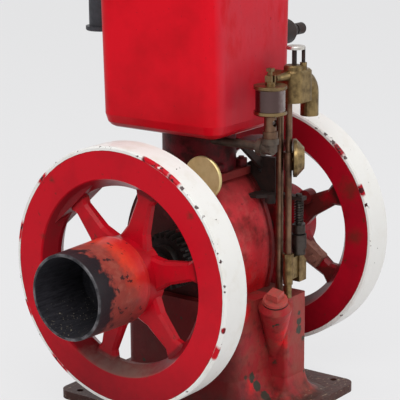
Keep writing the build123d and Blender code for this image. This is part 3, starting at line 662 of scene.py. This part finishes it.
@dataclass(frozen=True)
class WornDrum:
    """Belt pulley: thin old paint toward the hub, worn to black oily iron at the mouth."""

    name: str = "worn_drum"
    paint: str = "e2402a"
    worn: str = "8a3a32"
    bare: str = "a05a4c"
    fresh: str = "c41c22"
    shade: str = "6e3330"
    iron: str = "1c1b1f"
    inner: str = "37363b"
    edge: str = "6c696c"
    dust: str = "b0a590"
    bore: Fade = (62.5, 61.2)
    lip: Fade = (-341.4, -342.8)

    def material(self) -> bpy.types.Material:
        """Build the worn paint.

        Returns:
            Its material.
        """
        # The belt has scrubbed thin orange-red paint down to black oily iron: the eye reads a
        # ragged dark collar at the mouth, a warm band beside the wheel, laid bright on top as
        # painted light and darker underneath as painted shade, and a light lip that is partly a
        # painted highlight.
        # The scrapes and crumbs inside are drawn 3 mm wide, because finer ones don't show.
        s = Shading(self.name)
        painted = s.band("X", -318.0, -306.0, ragged_mm=34.0, seed=1.0)
        colour = s.lay(self.iron, self.worn, painted)
        colour = s.lay(colour, self.bare, painted, s.patches(16, 0.5, 0.7, seed=4.0), 0.6)
        warm = s.band("X", -288.0, -258.0, ragged_mm=26.0, seed=2.0)
        # Painted light: the warm paint shows bright only over the top of the drum.
        painted_light_top = s.band("Z", 236.0, 286.0, ragged_mm=30.0, seed=5.0)
        colour = s.lay(colour, self.paint, warm, painted_light_top, 0.9)
        by_wheel = s.band("X", -266.0, -246.0, ragged_mm=16.0, seed=3.0)
        colour = s.lay(colour, self.fresh, by_wheel, 0.85)
        # Painted shade: the drum is laid darker underneath.
        lower = s.band("Z", 250.0, 206.0, ragged_mm=30.0, seed=8.0)
        colour = s.lay(colour, self.shade, lower, painted, 0.8)
        colour = s.lay(colour, self.iron, s.patches(15, 0.61, 0.63, 5.0, seed=6.0), 0.85)
        inside = s.ring(*self.bore)
        scrapes = s.patches(3, 0.3, 0.7, 3.0, seed=3.0, stretch=(8, 1, 1))
        colour = s.lay(colour, s.lay(self.iron, self.inner, scrapes), inside)
        floor = s.band("Z", 232.0, 196.0, ragged_mm=20.0, seed=7.0)
        crumbs = s.patches(3, 0.66, 0.7, 2.0, seed=2.0)
        colour = s.lay(colour, self.dust, inside, floor, crumbs)
        # The lip is laid light grey: worn iron, and partly a painted highlight.
        worn_lip_and_highlight = s.patches(20, 0.42, 0.64, seed=9.0)
        colour = s.lay(colour, self.edge, s.band("X", *self.lip), worn_lip_and_highlight, 0.75)
        s.surface(colour, rough=0.36, relief_mm=0.3, relief_size_mm=4.0, gloss=0.22)
        return s.material


@dataclass(frozen=True)
class BareMetal:
    """Bare metal or thin paint under a film of old oil, clouded between two tones."""

    name: str
    colour: str
    stain: str
    rough: float
    metal: float = 1.0
    stain_share: float = 0.8
    stain_mm: float = 12.0
    dulling: float = 0.2
    relief_mm: float = 0.12
    relief_size_mm: float = 1.8
    gloss: float = 0.5

    def material(self) -> bpy.types.Material:
        """Build the metal.

        Returns:
            Its material.
        """
        # Oxide and oil lie in clouds: the eye reads brown or black metal that still shines
        # softly along its edges. The relief is drawn at 1.8 mm, because real grit is too
        # fine to show.
        s = Shading(self.name)
        cloud = s.patches(self.stain_mm, 0.4, 0.66, seed=2.5)
        colour = s.lay(self.colour, self.stain, cloud, self.stain_share)
        dull = min(1.0, self.rough + self.dulling)
        rough = s.add(
            "ShaderNodeMapRange", {"Value": cloud, "To Min": self.rough, "To Max": dull}
        ).outputs[0]
        s.surface(colour, rough, self.relief_mm, self.relief_size_mm, self.metal, self.gloss)
        return s.material


@dataclass(frozen=True)
class PlugPaint:
    """Thin red paint on the filler plug, over a black fibre gasket."""

    name: str = "plug_paint"
    colour: str = "b04a44"
    rubbed: str = "8e5046"
    gasket: str = "241a17"
    boss_root: Place = (32.0, -112.0, 76.0)
    gasket_reach: float = 118.3

    def material(self) -> bpy.types.Material:
        """Build the paint.

        Returns:
            Its material.
        """
        # Iron pipe plug brushed with thin paint: the eye reads a chalky pink-red square head
        # with rubbed corners, and the black edge of the gasket under its flange. The brush
        # marks are drawn at 1.8 mm so that they show.
        s = Shading(self.name)
        colour = s.lay(self.colour, self.rubbed, s.patches(9, 0.45, 0.66, seed=2.5), 0.8)
        under = s.spot(self.boss_root, self.gasket_reach, soft_mm=0.6, ragged_mm=0.0)
        colour = s.lay(colour, self.gasket, under)
        s.surface(colour, rough=0.42, relief_mm=0.3, relief_size_mm=1.8, gloss=0.2)
        return s.material


@dataclass(frozen=True)
class CupNickel:
    """Thin nickel on the oiler's brass cup, worn back to brass on its lower flange."""

    name: str = "cup_nickel"
    brass: str = "85704f"
    nickel: str = "b8aeaa"
    tarnish: str = "5b4a48"
    flange: Fade = (494.3, 493.9)

    def material(self) -> bpy.types.Material:
        """Build the plating.

        Returns:
            Its material.
        """
        # Polished, plated and then tarnished: the eye reads a purple-brown cup with one bright
        # silver side, which is kept nickel and partly a painted reflection, over a brown brass
        # flange.
        s = Shading(self.name)
        # Painted reflection: one side is laid bright silver, on the patches where nickel is kept.
        side = s.band("X", -38.0, -20.0, ragged_mm=6.0, seed=3.0)
        kept = s.patches(14, 0.3, 0.55, seed=1.0)
        colour = s.lay(self.tarnish, self.nickel, side, kept, 0.85)
        colour = s.lay(colour, self.brass, s.band("Z", *self.flange))
        s.surface(colour, rough=0.22, relief_mm=0.08, relief_size_mm=3.0, metal=1.0)
        return s.material


@dataclass(frozen=True)
class SightGlass:
    """Blown gauge glass of the oiler's sight feed, dark with old oil."""

    name: str = "sight_glass"
    oil: str = "6a4a34"
    rough: float = 0.05
    clear: float = 0.7
    ior: float = 1.5

    def material(self) -> bpy.types.Material:
        """Build the glass.

        Returns:
            Its material.
        """
        # Clear glass over brown oil: the eye reads a dark wet bead with a sharp highlight.
        s = Shading(self.name)
        s.shader.inputs["Base Color"].default_value = linear(self.oil)
        s.shader.inputs["Roughness"].default_value = self.rough
        s.shader.inputs["Transmission Weight"].default_value = self.clear
        s.shader.inputs["IOR"].default_value = self.ior
        return s.material


class Paint(Enum):
    """The finishes that the engine's pieces take."""

    HOPPER = HopperEnamel()
    CASE = CrankcaseEnamel()
    # Painted shade: the neck stands under the hopper, so its red is laid dark.
    SHADED_NECK = DarkRed("shaded_neck_enamel", "5c141b", "33100f")
    NUT = DarkRed("nut_enamel", "6a2326", "3a1514")
    PEDESTAL = PedestalEnamel()
    NEAR_WHEEL = WheelEnamel(
        "near_wheel_enamel",
        NEAR_FACE,
        peels=(
            ((NEAR_FACE, -66.0, 444.0), 15.0),
            ((NEAR_FACE, -88.0, 434.0), 17.0),
            ((NEAR_FACE, -111.0, 421.0), 14.0),
            ((NEAR_FACE, -200.0, 208.0), 7.0),
            ((NEAR_FACE, -184.0, 172.0), 14.0),
            ((NEAR_FACE, 149.0, 392.0), 15.0),
            ((NEAR_FACE, 197.0, 300.0), 20.0),
            ((NEAR_FACE, 186.0, 172.0), 16.0),
            ((NEAR_FACE, 122.0, 92.0), 24.0),
        ),
        knocks=(
            ((NEAR_FACE, -126.0, 411.0), 4.0),
            ((NEAR_FACE, -151.0, 386.0), 3.5),
            ((NEAR_FACE, -200.5, 276.0), 2.5),
            ((NEAR_FACE, -201.0, 268.0), 2.5),
            ((NEAR_FACE, 148.0, 390.0), 5.0),
            ((NEAR_FACE, 102.0, 427.0), 2.0),
            ((NEAR_FACE, 162.0, 131.0), 3.0),
        ),
        stains=(
            ((NEAR_FACE, 125.0, 389.0), 7.0),
            ((NEAR_FACE, -140.0, 371.0), 8.0),
            ((NEAR_FACE, 147.0, 296.0), 7.0),
        ),
    )
    # The far wheel is laid a darker red than the near one, with its spokes darkened much more.
    FAR_WHEEL = WheelEnamel(
        "far_wheel_enamel",
        FAR_FACE,
        red="9c0c1e",
        dark_red="6d0f19",
        soil="d4d0c8",
        spoke_darkening=0.85,
        peels=(((FAR_FACE, -141.0, 400.0), 16.0), ((FAR_FACE, -184.0, 336.0), 12.0)),
        knocks=(
            ((FAR_FACE, -113.0, 421.0), 4.0),
            ((FAR_FACE, -128.0, 409.0), 4.0),
            ((FAR_FACE, -139.0, 399.5), 3.5),
            ((FAR_FACE, -152.0, 386.0), 4.0),
            ((FAR_FACE, -183.0, 335.0), 5.0),
        ),
        stains=(((FAR_FACE, -163.0, 335.0), 24.0), ((FAR_FACE, -172.0, 255.0), 18.0)),
    )
    PLUG = PlugPaint()
    PAD = BareMetal("pad_paint", "8e6154", "6a4238", 0.5, metal=0.0, relief_mm=0.4, gloss=0.15)
    DRUM = WornDrum()
    CAST_BRASS = BareMetal("cast_brass", "88734e", "4e3f2b", 0.34, relief_mm=0.25)
    TUBE_BRASS = BareMetal("tube_brass", "7a604c", "4a3830", 0.32, stain_mm=20.0)
    CUP = CupNickel()
    LID_BRASS = BareMetal("lid_brass", "85704f", "54442f", 0.28, stain_mm=16.0)
    DISC_BRASS = BareMetal(
        "disc_brass", "e0cf98", "cbb77f", 0.4, stain_share=0.5, stain_mm=20.0
    )
    BLACK_IRON = BareMetal(
        "black_iron", "2a2422", "3a2a26", 0.4, metal=0.0, relief_mm=0.4, gloss=0.14
    )
    OILY_PIPE = BareMetal(
        "oily_pipe", "54483e", "332b26", 0.38, metal=0.3, relief_mm=0.3, gloss=0.3
    )
    BLACK_PIPE = BareMetal("black_pipe", "38383d", "262629", 0.35, metal=0.0, gloss=0.25)
    GREASY_STEEL = BareMetal("greasy_steel", "4a4440", "26211f", 0.36)
    GREASY_GEAR = BareMetal("greasy_gear", "2b2523", "171312", 0.4, metal=0.6)
    PALE_STEEL = BareMetal("pale_steel", "cfccc6", "a39c92", 0.3)
    GLASS = SightGlass()


class Finishes:
    """Builds each finish once and hands it out."""

    def __init__(self) -> None:
        """Start with nothing built."""
        self.made: dict[Paint, bpy.types.Material] = {}

    def get(self, paint: Paint) -> bpy.types.Material:
        """Return the material of a finish, built at its first use.

        Args:
            paint: The finish.

        Returns:
            Its material.
        """
        if paint not in self.made:
            self.made[paint] = paint.value.material()
        return self.made[paint]

    def dress(
        self, names: tuple[str, ...], paint: Paint, round_below: float = MACHINED_ROUND
    ) -> None:
        """Give CAD nodes a finish and shade their curves as curves.

        Args:
            names: The nodes.
            paint: Their finish.
            round_below: Corners flatter than this many degrees are shaded round.
        """
        for name in names:
            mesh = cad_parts[name].data
            mesh.materials.clear()
            mesh.materials.append(self.get(paint))
            mesh.shade_smooth()
            mesh.set_sharp_from_angle(angle=math.radians(round_below))
        LOG.info("%s: %s", paint.name, ", ".join(names))

    def show(
        self,
        name: str,
        body: str,
        mesh: bmesh.types.BMesh,
        paint: Paint,
        smooth: bool = False,
    ) -> bpy.types.Object:
        """Turn a built mesh into a piece of the scene that rides on a body.

        Args:
            name: The piece's own name.
            body: The body that carries it.
            mesh: The mesh, which is freed here.
            paint: Its finish.
            smooth: Whether its faces are shaded as one curve.

        Returns:
            The new object.
        """
        for face in mesh.faces:
            face.smooth = smooth
        data = bpy.data.meshes.new(name)
        mesh.to_mesh(data)
        mesh.free()
        data.materials.append(self.get(paint))
        made = bpy.data.objects.new(name, data)
        bpy.context.scene.collection.objects.link(made)
        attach(made, body)
        LOG.info("%s rides on %s", name, body)
        return made


@dataclass
class Bolt:
    """One hexagon head or nut, with the end of its stud where it has one, in millimetres."""

    seat: Place
    out: Place
    across: float
    height: float
    stud: float = 0.0
    sides: int = 6
    chamfer: float = 1.2
    crown: float = 0.86
    stud_sides: int = 16
    stud_foot: float = 0.28
    stud_tip: float = 0.25

    def build(self, mesh: bmesh.types.BMesh) -> None:
        """Add the bolt to a mesh.

        Args:
            mesh: The mesh that takes the bolt.
        """
        turn = Vector(self.out).to_track_quat("Z", "Y").to_matrix().to_4x4()
        base = Matrix.Translation(Vector(self.seat) * MM) @ turn
        corner = self.across / 2 / math.cos(math.pi / self.sides)
        flat = self.height - self.chamfer
        # Each piece: sides, radius below and above, the level it starts at and its height.
        pieces = [
            (self.sides, corner, corner, 0.0, flat),
            (self.sides, corner, corner * self.crown, flat, self.chamfer),
        ]
        if self.stud > 0:
            foot, tip = self.across * self.stud_foot, self.across * self.stud_tip
            pieces.append((self.stud_sides, foot, tip, self.height, self.stud))
        for sides, low, high, level, tall in pieces:
            lift = Matrix.Translation((0, 0, (level + tall / 2) * MM))
            bmesh.ops.create_cone(
                mesh,
                cap_ends=True,
                segments=sides,
                radius1=low * MM,
                radius2=high * MM,
                depth=tall * MM,
                matrix=base @ lift,
            )


@dataclass
class FastenerSet:
    """Nuts and bolts that ride on one body and share one finish."""

    name: str
    body: str
    paint: Paint
    bolts: list[Bolt] = field(default_factory=list)

    def build(self, finishes: Finishes) -> None:
        """Make one mesh of all the bolts.

        Args:
            finishes: Where the finish comes from.
        """
        mesh = bmesh.new()
        for bolt in self.bolts:
            bolt.build(mesh)
        finishes.show(self.name, self.body, mesh, self.paint)


@dataclass
class Castings:
    """The painted castings: base, crankcase, bearings, cylinder and hopper."""

    bearing_bolts: int = 6
    bearing_turn: float = 30.0
    bearing_circle: float = 39.0
    bearing_face: float = 68.0
    bearing_across: float = 12.0
    bearing_head: float = 7.0
    flange_top: float = 382.0
    nut_xs: tuple[float, float] = (-44.0, 44.0)
    nut_ys: tuple[float, float] = (-37.0, 65.0)
    nut_across: float = 18.0
    nut_height: float = 13.0
    stud_above: float = 3.0

    def dress(self, finishes: Finishes) -> None:
        """Paint the castings and bolt them together.

        Args:
            finishes: Where the finishes come from.
        """
        finishes.dress(("water_hopper", "cylinder_head"), Paint.HOPPER)
        finishes.dress(("crankcase", "main_bearing_near", "main_bearing_far"), Paint.CASE)
        finishes.dress(("cylinder",), Paint.SHADED_NECK)
        finishes.dress(("base",), Paint.PEDESTAL)
        finishes.dress(("filler_plug",), Paint.PLUG)
        finishes.dress(("brass_disc",), Paint.DISC_BRASS)
        self.bolt_bearings(finishes)
        self.bolt_flange(finishes)

    def bolt_bearings(self, finishes: Finishes) -> None:
        """Put a ring of bolts round each main bearing.

        Args:
            finishes: Where the finish comes from.
        """
        ring = FastenerSet("bearing_bolts", "frame", Paint.NUT)
        for side in (-1, 1):
            for step in range(self.bearing_bolts):
                angle = math.radians(self.bearing_turn + 360 / self.bearing_bolts * step)
                y = self.bearing_circle * math.cos(angle)
                z = CRANK_HEIGHT + self.bearing_circle * math.sin(angle)
                seat = (side * self.bearing_face, y, z)
                ring.bolts.append(
                    Bolt(seat, (side, 0, 0), self.bearing_across, self.bearing_head)
                )
        ring.build(finishes)

    def bolt_flange(self, finishes: Finishes) -> None:
        """Hold the cylinder down with four nuts on studs.

        Args:
            finishes: Where the finish comes from.
        """
        flange = FastenerSet("flange_nuts", "frame", Paint.NUT)
        for x in self.nut_xs:
            for y in self.nut_ys:
                seat = (x, y, self.flange_top)
                flange.bolts.append(
                    Bolt(seat, (0, 0, 1), self.nut_across, self.nut_height, self.stud_above)
                )
        flange.build(finishes)


@dataclass
class RunningGear:
    """The flywheels, pulley, shaft and gear that turn together."""

    pad_angle: float = 213.0
    pad_reach: float = 83.0
    pad_side: float = 7.0
    pad_face: float = 182.3
    pad_bolt_gap: float = 17.0
    pad_bolt_across: float = 12.0
    pad_bolt_head: float = 6.0

    def dress(self, finishes: Finishes) -> None:
        """Paint the wheels and oil the bare steel.

        Args:
            finishes: Where the finishes come from.
        """
        finishes.dress(("near_flywheel",), Paint.NEAR_WHEEL, CAST_ROUND)
        finishes.dress(("far_flywheel",), Paint.FAR_WHEEL, CAST_ROUND)
        finishes.dress(("flywheel_pad",), Paint.PAD)
        finishes.dress(("belt_pulley",), Paint.DRUM)
        finishes.dress(("crankshaft", "crank_gear"), Paint.GREASY_GEAR)
        self.bolt_pad(finishes)

    def bolt_pad(self, finishes: Finishes) -> None:
        """Put two bolts on the pad, along the spoke that carries it.

        Args:
            finishes: Where the finish comes from.
        """
        turn = math.radians(self.pad_angle)
        pad = FastenerSet("pad_bolts", "crank", Paint.PAD)
        for step in (-self.pad_bolt_gap, self.pad_bolt_gap):
            along = self.pad_reach + step
            y = along * math.cos(turn) + self.pad_side * math.sin(turn)
            z = along * math.sin(turn) - self.pad_side * math.cos(turn)
            seat = (self.pad_face, y, CRANK_HEIGHT + z)
            pad.bolts.append(Bolt(seat, (-1, 0, 0), self.pad_bolt_across, self.pad_bolt_head))
        pad.build(finishes)


@dataclass
class Fittings:
    """The brass fuel fittings, the drip oiler, the muffler and the black ironwork."""

    sight_spot: Place = (-28.0, -142.0, 476.5)
    sight_radius: float = 7.6
    sight_segments: int = 32
    sight_rings: int = 20
    coil: float = 6.8
    wire: float = 1.1
    turns: int = 9
    lift: float = 8.0
    steps_a_turn: int = 24
    wire_sides: int = 8

    def dress(self, finishes: Finishes) -> None:
        """Give every fitting its metal.

        Args:
            finishes: Where the finishes come from.
        """
        finishes.dress(("mixer_body", "mixer_cap", "strainer_dish"), Paint.CAST_BRASS, CAST_ROUND)
        finishes.dress(("pump_body",), Paint.CAST_BRASS)
        finishes.dress(("feed_tube", "return_tube", "oiler_sight"), Paint.TUBE_BRASS)
        finishes.dress(("oiler_cup",), Paint.CUP)
        finishes.dress(("oiler_lid", "oiler_lever"), Paint.LID_BRASS)
        finishes.dress(
            (
                "igniter",
                "mixer_post",
                "mixer_stop",
                "governor_bracket",
                "governor_arm",
                "pump_bracket",
            ),
            Paint.BLACK_IRON,
        )
        finishes.dress(("oiler_pipe",), Paint.OILY_PIPE)
        finishes.dress(("muffler", "exhaust_pipe"), Paint.BLACK_PIPE)
        finishes.dress(("pump_barrel", "pump_plunger", "pump_spring"), Paint.GREASY_STEEL)
        finishes.dress(("mixer_plate",), Paint.PALE_STEEL)
        self.blow_sight(finishes)
        self.wind_spring(finishes)

    def blow_sight(self, finishes: Finishes) -> None:
        """Blow the bead of glass that shows in the oiler's sight holes.

        Args:
            finishes: Where the finish comes from.
        """
        glass = bmesh.new()
        bmesh.ops.create_uvsphere(
            glass,
            u_segments=self.sight_segments,
            v_segments=self.sight_rings,
            radius=self.sight_radius * MM,
            matrix=Matrix.Translation(Vector(self.sight_spot) * MM),
        )
        finishes.show("sight_bead", "frame", glass, Paint.GLASS, smooth=True)

    def wind_spring(self, finishes: Finishes) -> None:
        """Wind the pump's real spring, which stands for the ridged sleeve of the source.

        Its top end stays against the bracket, and the whole coil rides on the frame.

        Args:
            finishes: Where the finish comes from.
        """
        mesh = bmesh.new()
        below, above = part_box("pump_spring")
        low, high = below[2] / MM, above[2] / MM
        middle = (below + above) / 2 / MM
        rise = high - low - 2 * self.wire
        steps = self.turns * self.steps_a_turn
        up = Vector((0, 0, 1))
        rings = []
        for step in range(steps + 1):
            angle = 2 * math.pi * step / self.steps_a_turn
            out = Vector((math.cos(angle), math.sin(angle), 0.0))
            level = low + self.wire + rise * step / steps
            centre = Vector((middle[0], middle[1], level)) + out * self.coil
            ring = []
            for side in range(self.wire_sides):
                turn = 2 * math.pi * side / self.wire_sides
                point = centre + (out * math.cos(turn) + up * math.sin(turn)) * self.wire
                ring.append(mesh.verts.new(point * MM))
            rings.append(ring)
        for one, two in zip(rings, rings[1:]):
            for side in range(self.wire_sides):
                after = (side + 1) % self.wire_sides
                mesh.faces.new((one[side], one[after], two[after], two[side]))
        mesh.faces.new(rings[0][::-1])
        mesh.faces.new(rings[-1])
        bmesh.ops.recalc_face_normals(mesh, faces=mesh.faces)
        coil = finishes.show("spring_coil", "frame", mesh, Paint.GREASY_STEEL, smooth=True)
        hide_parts("pump_spring")
        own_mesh(coil)


@dataclass(frozen=True)
class Lamp:
    """One large soft lamp: its place and side in metres, and its power in watts."""

    name: str
    place: Place
    side: float
    watts: float


@dataclass
class Studio:
    """The pale floor, the soft lamps and the camera at the photograph's angle."""

    azimuth: float = -53.141
    elevation: float = 13.968
    roll: float = -0.428
    place: Place = (-1.9996, -1.4858, 0.9483)
    lens: float = 144.0
    sensor: float = 36.0
    sight_end: float = 50.0
    floor_side: float = 30.0
    floor_rough: float = 0.9
    floor_glow: float = 0.9
    backdrop: str = "e9e9ea"
    room_tint: str = "f2f2f4"
    room_light: float = 0.45
    lamps_aim: Place = (0.0, 0.0, 0.35)
    lamps: tuple[Lamp, ...] = (
        Lamp("key_lamp", (-2.2, -1.2, 3.0), 2.4, 90.0),
        Lamp("fill_lamp", (1.8, -3.0, 1.6), 2.5, 36.0),
        Lamp("top_lamp", (0.3, 0.6, 3.4), 2.6, 40.0),
    )

    def aim(self) -> None:
        """Set the camera at the place and angle measured from the photograph."""
        a, e, r = (math.radians(v) for v in (self.azimuth, self.elevation, self.roll))
        back = Vector((math.sin(a) * math.cos(e), -math.cos(a) * math.cos(e), math.sin(e)))
        right = Vector((math.cos(a), math.sin(a), 0.0))
        up = back.cross(right)
        across = right * math.cos(r) + up * math.sin(r)
        rise = up * math.cos(r) - right * math.sin(r)
        turn = Matrix((across, rise, back)).transposed().to_4x4()
        camera = bpy.data.objects.new("camera", bpy.data.cameras.new("camera"))
        camera.data.lens = self.lens
        camera.data.sensor_width = self.sensor
        camera.data.clip_end = self.sight_end
        camera.matrix_world = Matrix.Translation(self.place) @ turn
        bpy.context.scene.collection.objects.link(camera)
        bpy.context.scene.camera = camera

    def lay_floor(self) -> None:
        """Lay a plain pale floor that looks even to the camera and still takes the shadow."""
        bpy.ops.mesh.primitive_plane_add(size=self.floor_side)
        floor = bpy.context.object
        floor.name = "floor"
        # Matt painted screed: the eye sees only an even pale ground with a soft shadow.
        s = Shading("pale_floor")
        s.shader.inputs["Base Color"].default_value = linear(self.backdrop)
        s.shader.inputs["Roughness"].default_value = self.floor_rough
        glow = s.add("ShaderNodeEmission", {"Color": linear(self.backdrop), "Strength": 1.0})
        seen = s.add("ShaderNodeLightPath").outputs["Is Camera Ray"]
        share = s.add("ShaderNodeMath", {0: seen, 1: self.floor_glow}, operation="MULTIPLY")
        mix = s.add(
            "ShaderNodeMixShader",
            {0: share.outputs[0], 1: s.shader.outputs[0], 2: glow.outputs[0]},
        )
        s.tree.links.new(mix.outputs[0], s.tree.nodes["Material Output"].inputs["Surface"])
        floor.data.materials.append(s.material)

    def hang_lamps(self) -> None:
        """Hang the large soft lamps, all aimed at the engine's middle."""
        for lamp in self.lamps:
            light = bpy.data.lights.new(lamp.name, "AREA")
            light.size = lamp.side
            light.energy = lamp.watts
            hung = bpy.data.objects.new(lamp.name, light)
            hung.location = lamp.place
            back = Vector(lamp.place) - Vector(self.lamps_aim)
            hung.rotation_euler = back.to_track_quat("Z", "Y").to_euler()
            bpy.context.scene.collection.objects.link(hung)

    def light_room(self) -> None:
        """Light the room evenly, and show the backdrop to the camera, to gloss and to glass."""
        world = bpy.data.worlds.new("room")
        bpy.context.scene.world = world
        world.use_nodes = True
        tree = world.node_tree
        room = tree.nodes["Background"]
        room.inputs["Color"].default_value = linear(self.room_tint)
        room.inputs["Strength"].default_value = self.room_light
        bright = add_node(
            tree, "ShaderNodeBackground", {"Color": linear(self.backdrop), "Strength": 1.0}
        )
        rays = add_node(tree, "ShaderNodeLightPath").outputs
        seen = rays["Is Camera Ray"]
        for other in ("Is Glossy Ray", "Is Transmission Ray"):
            most = add_node(tree, "ShaderNodeMath", {0: seen, 1: rays[other]}, operation="MAXIMUM")
            seen = most.outputs[0]
        mix = add_node(
            tree, "ShaderNodeMixShader", {0: seen, 1: room.outputs[0], 2: bright.outputs[0]}
        )
        tree.links.new(mix.outputs[0], tree.nodes["World Output"].inputs["Surface"])

    def set_up(self) -> None:
        """Build the whole studio."""
        self.aim()
        self.lay_floor()
        self.hang_lamps()
        self.light_room()
        bpy.context.scene.view_settings.view_transform = "Standard"
        LOG.info("studio set")


def main() -> None:
    """Dress the engine, then set the studio round it."""
    logging.basicConfig(level=logging.INFO, format="%(name)s: %(message)s")
    finishes = Finishes()
    Castings().dress(finishes)
    RunningGear().dress(finishes)
    Fittings().dress(finishes)
    Studio().set_up()


if __name__ == "__main__":
    main()
